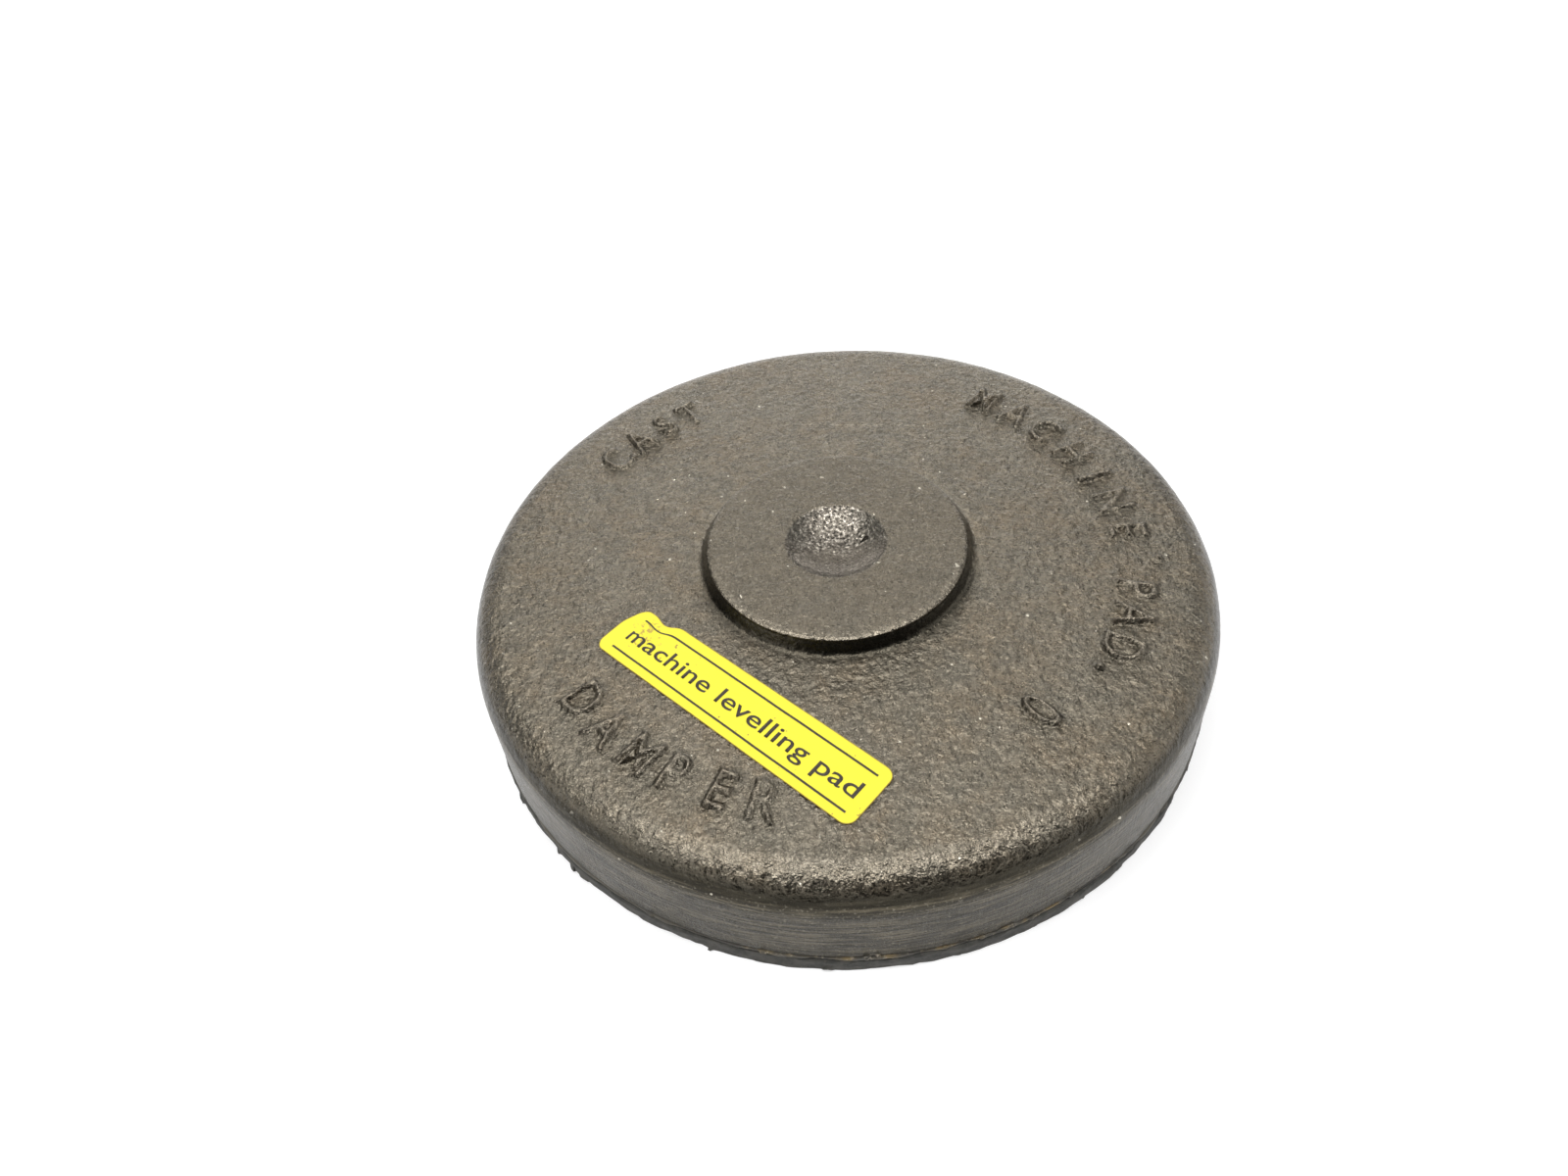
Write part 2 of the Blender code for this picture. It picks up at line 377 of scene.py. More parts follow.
cap = {
    "rimRound": 7.0 * mm,
    "bossRise": 3.0 * mm,
    "bossRadius": 27.0 * mm,
    "bossEdge": 1.1 * mm,
    "bossSlope": 0.4 * mm,
    "bossFillet": 1.9 * mm,
    "socketRadius": 10.2 * mm,
    "socketDepth": 3.0 * mm,
    "seatRadius": 2.0 * mm,
    "socketLip": 0.25 * mm,
    "nick": ((6.2 * mm, 2.1 * mm), (4.7 * mm, 1.0 * mm)),
    "nickDepth": 0.5 * mm,
    "nickWidth": 0.55 * mm,
    "scar": ((-7.5 * mm, 42.1 * mm), (20.0 * mm, 39.2 * mm)),
    "groundAngle": 12.0,  # the side is ground smooth up to this point of the rim's round, in degrees
    "draft": 0.6 * mm,
    "lipRound": 0.6 * mm,
    "wall": 5.0 * mm,
    "roof": 7.0 * mm,
    "hubRadius": 20.0 * mm,
    "hubDrop": 2.4 * mm,
    "keyRadius": 46.0 * mm,
    "keyWidth": 5.0 * mm,
    "keyDrop": 3.0 * mm,
    "innerCorner": 2.0 * mm,
    # rows and segments: the crown lies inside the split radius, the shell outside, hidden is the inside
    "split": 50.0 * mm,
    "crownPitch": 1.0 * mm,
    "shellPitch": 0.78 * mm,
    "hiddenPitch": 6.0 * mm,
    "crownSteps": 300,
    "shellSteps": 600,
    "hiddenSteps": 96,
    # sand skin: height and width of its waves and of its grain
    "waves": 0.16 * mm,
    "waveSize": 9.0 * mm,
    "grain": 0.12 * mm,
    "grainSize": 1.5 * mm,
    "sideSkin": 0.35,
    "bossSkin": 0.45,
}

lettering = {
    "height": 8.0 * mm,
    "rise": 1.05 * mm,
    "radius": 59.7 * mm,
    "narrow": 0.80,
    "widest": 6.6 * mm,
    "capHeight": 0.73,
    "bolder": 0.28 * mm,
    # a letter rises from its foot outside the edge to its shoulder inside
    "foot": 0.35 * mm,
    "shoulder": 0.70 * mm,
    # faces this close to an edge are cut finer, once for each number
    "refine": (1.1 * mm, 0.7 * mm),
    # width of the painted shade round a letter's foot
    "shadeWidth": 1.2 * mm,
    "margin": 1.5 * mm,
    "sway": 0.5,
    # text, first letter's angle, step, tops outwards or not
    "words": (
        ("CAST", 146.5, -7.3, True),
        ("MACHINE", 52.3, -8.5, True),
        ("PAD", -14.5, -7.5, True),
        ("DAMPER", -143.0, 7.8, False),
    ),
    "digit": ("0", 54.6 * mm, -50.2),
    "dots": ((64.0 * mm, -6.3), (57.3 * mm, -35.5)),
    "dotRadius": 0.9 * mm,
}


def capHeights():
    low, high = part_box("cap_casting")
    foot, top = high.x, high.z - cap["bossRise"]
    groundTop = top - cap["rimRound"] * (1 - math.sin(math.radians(cap["groundAngle"])))
    return {"bossTop": high.z, "top": top, "lip": low.z, "groundTop": groundTop, "foot": foot,
            "radius": foot - cap["draft"], "inner": foot - cap["draft"] - cap["wall"]}


def socketOutline(at):
    # a shallow bowl whose lip is softly rounded
    lip = cap["socketLip"]
    rise = cap["socketDepth"] - lip
    run = cap["socketRadius"] - cap["seatRadius"]
    steepest = 2 * math.atan(rise / run)
    bowl = run / math.sin(steepest)
    floor = at["bossTop"] - cap["socketDepth"]
    points = [(0.0, floor)]
    points += arc(cap["seatRadius"], floor + bowl, bowl, -90, -90 + math.degrees(steepest), 16)
    curve = lip / (1 - math.cos(steepest))
    centre = cap["socketRadius"] + curve * math.sin(steepest)
    points += arc(centre, at["bossTop"] - curve, curve, 90 + math.degrees(steepest), 90, 4)
    return points


def crownOutline(at):
    # the socket, the boss and the flat top round it
    crown = socketOutline(at)
    edge = cap["bossEdge"]
    crown += arc(cap["bossRadius"] - edge, at["bossTop"] - edge, edge, 90, 15, 4)
    fillet = cap["bossFillet"]
    centre = cap["bossRadius"] + cap["bossSlope"] + fillet
    crown += arc(centre, at["top"] + fillet, fillet, 195, 270, 6)
    crown.append((cap["split"], at["top"]))
    return crown


def shellOutline(at):
    # the rest of the top, the rim and the side
    rim = cap["rimRound"]
    shell = [(cap["split"] + cap["shellPitch"], at["top"])]
    shell += arc(at["radius"] - rim, at["top"] - rim, rim, 90, cap["groundAngle"], 15)
    lip = cap["lipRound"]
    shell += arc(at["foot"] - lip, at["lip"] + lip, lip, 0, -90, 3)
    return shell


def hiddenOutline(at):
    # the hollow underside, with a ring and a hub that hold the core
    ceiling = at["top"] - cap["roof"]
    corner = cap["innerCorner"]
    hidden = [(at["inner"], at["lip"])]
    hidden += arc(at["inner"] - corner, ceiling - corner, corner, 0, 90, 3)
    keyOuter = cap["keyRadius"] + cap["keyWidth"] / 2
    keyInner = cap["keyRadius"] - cap["keyWidth"] / 2
    hidden += [(keyOuter, ceiling), (keyOuter, ceiling - cap["keyDrop"])]
    hidden += [(keyInner, ceiling - cap["keyDrop"]), (keyInner, ceiling)]
    hidden += [(cap["hubRadius"] + cap["hubDrop"], ceiling), (cap["hubRadius"], ceiling - cap["hubDrop"])]
    hidden.append((0.0, ceiling - cap["hubDrop"]))
    return hidden


def bridged(piece, low, high):
    # joins the two open loops that lie between two radii
    activate(piece)
    bpy.ops.object.mode_set(mode="EDIT")
    bpy.ops.mesh.select_mode(type="EDGE")
    shape = bmesh.from_edit_mesh(piece.data)
    for part in (*shape.verts, *shape.edges, *shape.faces):
        part.select = False
    for line in shape.edges:
        radius = max(v.co.xy.length for v in line.verts)
        if len(line.link_faces) == 1 and low < radius < high:
            line.select_set(True)
    bmesh.update_edit_mesh(piece.data)
    bpy.ops.mesh.bridge_edge_loops()
    bpy.ops.object.mode_set(mode="OBJECT")


def buildCap(at):
    pitch = cap["shellPitch"]
    piece = joined("cap", [
        turned("crown", runs(crownOutline(at), cap["crownPitch"]), cap["crownSteps"]),
        turned("shell", runs(shellOutline(at), pitch), cap["shellSteps"]),
        turned("hidden", runs(hiddenOutline(at), cap["hiddenPitch"]), cap["hiddenSteps"]),
    ])
    bridged(piece, cap["split"] - pitch, cap["split"] + 2 * pitch)
    bridged(piece, at["inner"] - pitch, at["foot"] + pitch)
    facesOut(piece)
    return piece


def letterOutlines(at):
    # flat letters laid on their arcs, with a soft hand set wobble
    hand = random.Random(11)
    letters = []

    def lay(text, radius, degrees, outwards):
        degrees += hand.uniform(-1, 1) * lettering["sway"]
        radius += hand.uniform(-0.3, 0.3) * mm
        lean = hand.uniform(-3, 3)
        half = lettering["height"] / 2
        foot = radius - half if outwards else radius + half
        angle = math.radians(degrees)
        turn = math.radians((degrees - 90 if outwards else degrees + 90) + lean)
        deselectAll()
        bpy.ops.object.text_add(location=(foot * math.cos(angle), foot * math.sin(angle), at["top"]),
                                rotation=(0, 0, turn))
        letter = bpy.context.object
        letter.data.body = text
        letter.data.align_x = "CENTER"
        letter.data.size = lettering["height"] / lettering["capHeight"]
        letter.data.resolution_u = 4
        letter.data.offset = lettering["bolder"]
        bpy.context.view_layer.update()
        letter.scale.x = min(lettering["narrow"], lettering["widest"] / letter.dimensions.x)
        bpy.ops.object.convert(target="MESH")
        settle(bpy.context.object)
        letters.append(bpy.context.object)

    for text, first, step, outwards in lettering["words"]:
        for i, letter in enumerate(text):
            lay(letter, lettering["radius"], first + i * step, outwards)
    digit, radius, degrees = lettering["digit"]
    lay(digit, radius, degrees, False)
    for radius, degrees in lettering["dots"]:
        angle = math.radians(degrees)
        bpy.ops.mesh.primitive_circle_add(
            vertices=12, radius=lettering["dotRadius"], fill_type="NGON",
            location=(radius * math.cos(angle), radius * math.sin(angle), at["top"]))
        settle(bpy.context.object)
        letters.append(bpy.context.object)
    outlines = joined("letterOutlines", letters)
    merged(outlines, 0.01 * mm)
    return outlines


def outlineDistance(outlines):
    # signed distance to the letters' edges, positive inside a letter
    shape = bmesh.new()
    shape.from_mesh(outlines.data)
    tree = BVHTree.FromBMesh(shape)
    points = []
    for line in shape.edges:
        if len(line.link_faces) == 1:
            start, end = (v.co for v in line.verts)
            count = max(1, math.ceil((end - start).length / (0.1 * mm)))
            points += [start.lerp(end, i / count) for i in range(count)]
    shape.free()
    near = kdtree.KDTree(len(points))
    for i, point in enumerate(points):
        near.insert(point, i)
    near.balance()
    height = points[0].z

    def distance(place):
        flat = Vector((place.x, place.y, height))
        away = near.find(flat)[2]
        inside = tree.ray_cast(flat + Vector((0, 0, mm)), Vector((0, 0, -1)))[0] is not None
        return away if inside else -away

    return distance


def raiseLetters(piece, at):
    outlines = letterOutlines(at)
    distance = outlineDistance(outlines)
    bpy.data.objects.remove(outlines)
    half = lettering["height"] / 2
    inner = min(lettering["radius"], lettering["digit"][1]) - half - lettering["margin"]
    outer = lettering["radius"] + half + lettering["margin"]

    def inBand(place):
        return inner < place.xy.length < outer and abs(place.z - at["top"]) < 0.1 * mm

    for reach in lettering["refine"]:
        def nearLetter(face):
            place = face.calc_center_median()
            return inBand(place) and abs(distance(place)) < reach

        selectFaces(piece, nearLetter)
        bpy.ops.mesh.subdivide(number_cuts=1)
        bpy.ops.object.mode_set(mode="OBJECT")

    lift, shadow = {}, {}
    for vertex in piece.data.vertices:
        if inBand(vertex.co):
            away = distance(vertex.co)
            weight = smooth(away, -lettering["foot"], lettering["shoulder"])
            # rubbed and badly filled stretches of the letters
            wearAndBowlFront = noise.noise(vertex.co / (9 * mm)) + 0.6 * noise.noise(vertex.co / (2.2 * mm))
            if weight > 0:
                lift[vertex.index] = weight * (0.80 + 0.45 * max(-0.9, min(0.5, wearAndBowlFront)))
            # painted shade: the ground round each letter's foot darkens towards the letter
            if away > -lettering["shadeWidth"]:
                shadow[vertex.index] = smooth(away, -lettering["shadeWidth"], -0.2 * mm) * (1 - weight)
    weighted(piece, "letters", lift)
    raised = piece.data.attributes.new("raised", "FLOAT", "POINT")
    # this attribute holds painted shade at the letters' feet and, later, in the nick
    grimeAndShade = piece.data.attributes.new("grimeAndShade", "FLOAT", "POINT")
    for index, weight in lift.items():
        raised.data[index].value = weight
    for index, weight in shadow.items():
        grimeAndShade.data[index].value = weight
    applied(piece, "DISPLACE", strength=lettering["rise"], mid_level=0.0,
            vertex_group="letters", direction="Z")


def cutNick(piece):
    # a chip struck out of the socket's bowl
    start, end = (Vector((*place, 0)) for place in cap["nick"])
    run = end - start

    def away(place):
        flat = Vector((place.x, place.y, 0))
        share = max(0.0, min(1.0, (flat - start).dot(run) / run.length_squared))
        return (flat - start - run * share).length / (1.15 - share)

    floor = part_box("cap_casting")[1].z - cap["socketDepth"] - 0.1 * mm
    for reach in (1.3 * mm, 0.9 * mm, 0.6 * mm):
        selectFaces(piece, lambda face: away(face.calc_center_median()) < reach
                    and face.calc_center_median().z > floor)
        bpy.ops.mesh.subdivide(number_cuts=1)
        bpy.ops.object.mode_set(mode="OBJECT")
    deep = {v.index: 1 - smooth(away(v.co), 0.25 * mm, cap["nickWidth"]) for v in piece.data.vertices
            if v.co.z > floor and away(v.co) < cap["nickWidth"]}
    weighted(piece, "nick", deep)
    # painted shade: the nick's hollow is darkened
    grimeAndShade = piece.data.attributes["grimeAndShade"]
    for index, weight in deep.items():
        grimeAndShade.data[index].value = 3.8 * weight
    applied(piece, "DISPLACE", strength=-cap["nickDepth"], mid_level=0.0,
            vertex_group="nick", direction="Z")


def castSkin(piece, at):
    # how much of the sand skin each vertex carries: little in the socket and on the side, none inside
    weights = {}
    for vertex in piece.data.vertices:
        radius, height = vertex.co.xy.length, vertex.co.z
        if radius < cap["socketRadius"] + cap["socketLip"] and height > at["top"] - 4 * mm:
            weight = 0.30 * smooth(vertex.co.y, -3 * mm, 1 * mm) + 0.08
        elif radius < cap["bossRadius"] and height > at["top"]:
            weight = cap["bossSkin"]
        elif radius < at["inner"] and height < at["top"] - 1 * mm:
            weight = 0.0
        else:
            onTop = smooth(height, at["top"] - 7 * mm, at["top"] - 3 * mm)
            weight = cap["sideSkin"] + (1 - cap["sideSkin"]) * onTop
        weights[vertex.index] = weight
    weighted(piece, "skin", weights)
    roughened(piece, cap["waveSize"], cap["waves"], "skin")
    roughened(piece, cap["grainSize"], cap["grain"], "skin")


ironColours = {
    "warm": (0.143, 0.117, 0.083),
    "cool": (0.141, 0.124, 0.095),
    "patch": (0.103, 0.094, 0.075),
    "darkGrain": (0.072, 0.063, 0.047),
    "lightGrain": (0.255, 0.224, 0.172),
    "letter": (0.250, 0.218, 0.172),
    "bossCool": (0.112, 0.100, 0.079),
    "bossWarm": (0.146, 0.126, 0.095),
    "sideDark": (0.048, 0.043, 0.031),
    "sideLight": (0.070, 0.061, 0.044),
    "darkStreak": (0.026, 0.023, 0.018),
    "lightStreak": (0.128, 0.110, 0.078),
    "sideFoot": (0.034, 0.029, 0.018),
    "bowlDull": (0.125, 0.110, 0.090),
    "bowlClear": (0.190, 0.170, 0.142),
    # painted glint
    "bowlGlint": (0.470, 0.430, 0.370),
    "bowlPit": (0.042, 0.038, 0.032),
    # painted shade on the bowl's flanks
    "bowlFlankShade": (0.066, 0.061, 0.050),
    "bowlFront": (0.118, 0.101, 0.080),
    "darkSpeck": (0.069, 0.063, 0.049),
    "lightSpeck": (0.355, 0.323, 0.258),
    "dust": (0.300, 0.265, 0.205),
    "flake": (0.611, 0.570, 0.473),
    # painted highlight tone
    "highlightTone": (0.330, 0.292, 0.232),
    "scar": (0.414, 0.370, 0.292),
    # painted shade: the darkest tone, for the rim's dark band, the boss's front foot, the letters' feet
    # and the nick
    "grimeAndShade": (0.030, 0.027, 0.020),
}


def between(shade, value, low, high):
    # 1 where value is from low to high; each is a pair that the edge fades over
    return shade.step(value, *low) * (1 - shade.step(value, *high))


def topTone(shade, blotch, mottle, fine, inBoss):
    # warm brown skin with cool grey patches, with light and dark grains
    tone = shade.mix(shade.step(blotch, 0.35, 0.65), ironColours["warm"], ironColours["cool"])
    tone = shade.mix(shade.step(mottle, 0.40, 0.62, 0.0, 0.60), tone, ironColours["patch"])
    tone = shade.mix(shade.step(fine, 0.50, 0.30, 0.0, 0.50), tone, ironColours["darkGrain"])
    tone = shade.mix(shade.step(fine, 0.50, 0.70, 0.0, 0.50), tone, ironColours["lightGrain"])
    tone = shade.mix(shade.attribute("raised") * 0.40, tone, ironColours["letter"])
    boss = shade.mix(shade.step(mottle, 0.38, 0.62), ironColours["bossCool"], ironColours["bossWarm"])
    return shade.mix(inBoss * 0.65, tone, boss)


def sideTone(shade, blotch, streaks, low):
    # ground dark, with streaks round it, and darker still above the seam
    tone = shade.mix(blotch, ironColours["sideDark"], ironColours["sideLight"])
    tone = shade.mix(shade.step(streaks, 0.49, 0.57, 0.0, 0.9), tone, ironColours["darkStreak"])
    tone = shade.mix(shade.step(streaks, 0.49, 0.41, 0.0, 0.9), tone, ironColours["lightStreak"])
    return shade.mix(low * 0.60, tone, ironColours["sideFoot"])


def bowlTone(shade, fine, sharp, paintedFlankShade, wearAndBowlFront):
    # painted glints: bright grains in the back half, where the highlight falls; plain brown in front;
    # painted shade: dark flanks
    tone = shade.mix(fine, ironColours["bowlDull"], ironColours["bowlClear"])
    tone = shade.mix(shade.step(sharp, 0.52, 0.66), tone, ironColours["bowlGlint"])
    tone = shade.mix(shade.step(sharp, 0.46, 0.34), tone, ironColours["bowlPit"])
    tone = shade.mix(paintedFlankShade * 0.8, tone, ironColours["bowlFlankShade"])
    return shade.mix(wearAndBowlFront * 0.85, tone, ironColours["bowlFront"])


def scarMask(shade, x, y, fine):
    # a thin dotted line across the far side of the top
    (x0, y0), (x1, y1) = cap["scar"]
    slope = (y1 - y0) / (x1 - x0)
    across = abs(y - y0 - (x - x0) * slope)
    scar = (1 - shade.step(across, 0.10 * mm, 0.30 * mm)) * shade.step(x, x0, x0 + 2 * mm)
    return scar * (1 - shade.step(x, x1 - 2 * mm, x1)) * shade.step(fine, 0.46, 0.56)


def ironFinish(at):
    shade = Shade("sandCastIron")
    x, y, z = shade.split()
    radius = (x * x + y * y) ** 0.5
    boss, socket = cap["bossRadius"], cap["socketRadius"]
    edge = at["groundTop"]
    rim = at["radius"] - cap["rimRound"]

    # patterns, coarse to fine
    blotch = shade.noise(14 * mm, 3.0, 0.6)
    mottle = shade.noise(3.5 * mm, 3.0, 0.6, seed=6.0)
    sand = shade.noise(1.35 * mm, 3.0, 0.6, seed=1.0)
    fine = shade.noise(1.1 * mm, 3.0, 0.65, seed=3.0)
    flakes = shade.step(shade.noise(1.1 * mm, 0.0, 0.5, seed=9.0), 0.81, 0.84)
    sharp = shade.noise(0.55 * mm, 1.0, 0.5, seed=2.0)
    speck = shade.noise(0.50 * mm, 1.0, 0.5, seed=7.0)
    # grinding marks: streaks run round the side, strokes up it
    streaks = shade.noise(10 * mm, 5.0, 0.7, shade.stretched(1, 1, 17), seed=4.0)
    strokes = shade.noise(6 * mm, 3.0, 0.6, shade.stretched(14, 14, 1), seed=8.0)

    # zones by height
    ground = 1 - shade.step(z, edge - 0.3 * mm, edge + 0.5 * mm)
    marked = 1 - shade.step(z, edge - 2.5 * mm, edge + 0.5 * mm)
    skin = shade.step(z, edge + 1.5 * mm, edge + 4.5 * mm)
    sideSkin = 1 - shade.step(z, edge + 1.8 * mm, edge + 4.2 * mm)
    # painted dark reflection: a band round the rim's round just above the ground side
    paintedDarkBand = between(shade, z, (edge + 0.5 * mm, edge + 1.6 * mm), (edge + 2.6 * mm, edge + 4.0 * mm))
    low = 1 - shade.step(z, 4.5 * mm, 8.5 * mm)
    # zones by radius; foot is the boss's wall and the ground at its foot
    inBoss = 1 - shade.step(radius, boss - 0.6 * mm, boss + 0.2 * mm)
    bowl = 1 - shade.step(radius, socket - 0.2 * mm, socket + 0.5 * mm)
    wavy = radius + 1.2 * mm * (fine - 0.5)
    ring = shade.step(radius, boss - 0.45 * mm, boss - 0.10 * mm)
    foot = ring * (1 - shade.step(wavy, boss + 0.8 * mm, boss + 3.8 * mm))
    # zones by side
    front = 1 - shade.step(y, -15 * mm, -2 * mm)
    # the bowl's front half, plain brown, where its painted glints and painted flank shade are left out
    wearAndBowlFront = 1 - shade.step(y + 4 * mm * (mottle - 0.5), -3.5 * mm, 3.0 * mm)
    # painted shade: the bowl's left and right behind its middle
    paintedFlankShade = shade.step(abs(x + 0.5 * mm), 4.0 * mm, 8.0 * mm) * (1 - wearAndBowlFront)
    # painted highlights, a lighter tone with lower roughness: the rim at the very front, the boss's edge
    # all over its front
    paintedRimHighlight = between(shade, radius, (rim - 1.0 * mm, rim + 1.0 * mm), (rim + 3.4 * mm, rim + 4.4 * mm))
    paintedRimHighlight = paintedRimHighlight * 0.85 * (1 - shade.step(y, -74 * mm, -50 * mm))
    paintedBossHighlight = shade.step(radius, boss - 2.4 * mm, boss - 1.5 * mm) * (1 - ring) * front * 0.5
    paintedHighlight = (paintedRimHighlight + paintedBossHighlight) * shade.step(fine, 0.36, 0.60, 0.3, 1.0)
    # painted shade: the boss's wall and foot on the front side, plus the letters' feet and the nick
    paintedShade = foot * front * 0.86 + shade.attribute("grimeAndShade") * 0.23

    tone = topTone(shade, blotch, mottle, fine, inBoss)
    tone = shade.mix(sideSkin, tone, sideTone(shade, blotch, streaks, low))
    # painted glints and painted flank shade in the socket's bowl
    tone = shade.mix(bowl, tone, bowlTone(shade, fine, sharp, paintedFlankShade, wearAndBowlFront))
    tone = shade.mix(shade.step(speck, 0.45, 0.25, 0.0, 0.30), tone, ironColours["darkSpeck"])
    tone = shade.mix(shade.step(speck, 0.55, 0.78, 0.0, 0.45), tone, ironColours["lightSpeck"])
    tone = shade.mix(foot * (1 - front) * 0.25, tone, ironColours["dust"])
    tone = shade.mix(flakes * (1 - ground) * (1 - foot) * 0.9, tone, ironColours["flake"])
    # painted highlight on the rim's front and the boss's front edge
    tone = shade.mix(paintedHighlight * 0.45, tone, ironColours["highlightTone"])
    # painted dark reflection on the rim's round
    tone = shade.mix(paintedDarkBand * 0.70, tone, ironColours["grimeAndShade"])
    tone = shade.mix(scarMask(shade, x, y, fine) * 0.6, tone, ironColours["scar"])
    # painted shade at the boss's front foot, the letters' feet and the nick
    tone = shade.mix(paintedShade, tone, ironColours["grimeAndShade"])

    rough = 0.29 + 0.20 * (fine - 0.5) + 0.30 * (speck - 0.5) + 0.04 * ground - 0.05 * paintedHighlight

    # sand grain, then finer grain that glints, then the grinding marks
    cast = 0.15 + 0.85 * skin
    sandDepth = sand * cast * (1 - 0.35 * inBoss) * (1 - 0.6 * foot) * (1 - 0.35 * bowl * wearAndBowlFront)
    normal = shade.bump(sandDepth, 0.80 * mm, 1.0)
    sharpDepth = sharp * cast * (1 - 0.8 * foot) * (1 + 1.8 * bowl * (1 - wearAndBowlFront))
    normal = shade.bump(sharpDepth, 0.10 * mm, 1.0, normal)
    marks = streaks * 0.6 + strokes * 0.5
    normal = shade.bump(marks * marked, 0.55 * mm, 0.8, normal)
    return shade.finish(tone, rough, normal, metallic=0.95)


def makeCap():
    at = capHeights()
    piece = buildCap(at)
    raiseLetters(piece, at)
    cutNick(piece)
    castSkin(piece, at)
    piece.data.materials.append(ironFinish(at))
    smoothShaded(piece, 50)
    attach(piece, "root")
    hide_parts("cap_casting")
    print("cap:", len(piece.data.polygons), "faces")
    return piece


sole = {
    "edge": 0.4 * mm,
    "treadDepth": 1.4 * mm,
    "treadGroove": 3.0 * mm,
    "treadFirst": 18.0 * mm,
    "treadPitch": 16.0 * mm,
    "treadRings": 4,
    "channels": 8,
    "steps": 400,
    "ragged": 0.55 * mm,
    # flaps torn out of the edge: angle in degrees, reach in millimetres
    "tears": (
        (-147.6, 0.45), (-136.6, 0.40), (-133.1, 0.5), (-130.4, 0.35), (-109.2, 0.45), (-93.6, 0.4),
        (-12.6, 0.6), (101.0, 0.45), (163.0, 0.4),
    ),
    "smallTears": 40,
    "smallReach": (0.08, 0.25),
}


def soleFinish():
    shade = Shade("soleRubber")
    dust = shade.noise(3 * mm, 3.0, 0.6)
    fine = shade.noise(0.6 * mm, 2.0, 0.6, seed=1.0)
    tone = shade.mix(shade.step(dust, 0.35, 0.7), (0.030, 0.030, 0.026), (0.075, 0.072, 0.062))
    tone = shade.mix(shade.step(fine, 0.45, 0.7, 0.0, 0.4), tone, (0.11, 0.10, 0.09))
    normal = shade.bump(shade.noise(0.8 * mm, 3.0, 0.6, seed=2.0), 0.2 * mm, 0.8)
    return shade.finish(tone, 0.75 + 0.2 * (fine - 0.5), normal)


def treadChannels():
    # straight bars, to be cut out of the underside
    first = sole["treadFirst"]
    length = (sole["treadRings"] - 1) * sole["treadPitch"]
    deep = sole["treadDepth"]
    bars = []
    for i in range(sole["channels"]):
        angle = math.tau * (i + 0.5) / sole["channels"]
        middle = first + length / 2
        place = (middle * math.cos(angle), middle * math.sin(angle), 0)
        deselectAll()
        bpy.ops.mesh.primitive_cube_add(size=1, location=place, rotation=(0, 0, angle))
        bar = bpy.context.object
        bar.scale = (length, sole["treadGroove"], 2 * deep - 0.02 * mm)
        settle(bar)
        bars.append(bar)
    return joined("treadChannels", bars)


def tearEdge(piece, angle, reach, hand):
    # one small flap pulled out of the sheet's lower edge
    angle = math.radians(angle)
    outward = Vector((math.cos(angle), math.sin(angle), 0))
    along = Vector((-outward.y, outward.x, 0))
    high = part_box("nonskid_sole")[1]
    width = math.cos(math.tau / sole["steps"] * hand.choice((0.55, 1.05)))
    level = high.z * hand.uniform(0.3, 0.75)

    def atTear(face):
        middle = face.calc_center_median()
        flat = Vector((middle.x, middle.y, 0)).normalized()
        onEdge = middle.xy.length > high.x - mm and abs(face.normal.z) < 0.5
        return onEdge and middle.z < level and flat.dot(outward) > width

    if selectFaces(piece, atTear):
        for share in (0.6, 0.4):
            move = (outward * reach * share + along * hand.uniform(-0.35, 0.35)) * mm
            drop = hand.uniform(-0.35, 0.15) * mm
            size = hand.uniform(0.35, 0.8)
            bpy.ops.mesh.extrude_region_move(TRANSFORM_OT_translate={"value": (move.x, move.y, drop)})
            bpy.ops.transform.resize(value=(size, size, size * 0.6))
    bpy.ops.object.mode_set(mode="OBJECT")


def makeSole():
    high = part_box("nonskid_sole")[1]
    radius, top = high.x, high.z
    edge = sole["edge"]
    outline = [(0.0, top), (radius - 3 * mm, top)]
    outline += arc(radius - edge, top - edge, edge, 90, 0, 3)
    outline += runs([(radius, top - edge), (radius, 0.0)], 0.8 * mm)[1:]
    for ring in reversed(range(sole["treadRings"])):
        middle = sole["treadFirst"] + ring * sole["treadPitch"]
        outer, inner = middle + sole["treadGroove"] / 2, middle - sole["treadGroove"] / 2
        outline += [(outer, 0.0), (outer, sole["treadDepth"]), (inner, sole["treadDepth"]), (inner, 0.0)]
    outline.append((0.0, 0.0))
    piece = turned("sole", outline, sole["steps"])
    facesOut(piece)
    channels = treadChannels()
    applied(piece, "BOOLEAN", operation="DIFFERENCE", object=channels)
    bpy.data.objects.remove(channels)
    weighted(piece, "cutEdge", {v.index: smooth(v.co.xy.length, radius - 1.5 * mm, radius - 0.2 * mm)
                                for v in piece.data.vertices})
    roughened(piece, 11 * mm, 2 * sole["ragged"], "cutEdge")
    roughened(piece, 2.2 * mm, sole["ragged"], "cutEdge")
    hand = random.Random(21)
    for angle, reach in sole["tears"]:
        tearEdge(piece, angle, reach, hand)
    spacing = 360 / sole["smallTears"]
    for i in range(sole["smallTears"]):
        angle = -180 + spacing * (i + hand.uniform(0.2, 0.8))
        if all(abs(angle - torn) > 3 for torn, _ in sole["tears"]):
            tearEdge(piece, angle, hand.uniform(*sole["smallReach"]), hand)
    for vertex in piece.data.vertices:
        vertex.co.z = max(0.0, min(vertex.co.z, top + 0.15 * mm))
    piece.data.materials.append(soleFinish())
    smoothShaded(piece, 40)
    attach(piece, "root")
    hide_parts("nonskid_sole")
    print("sole:", len(piece.data.polygons), "faces")


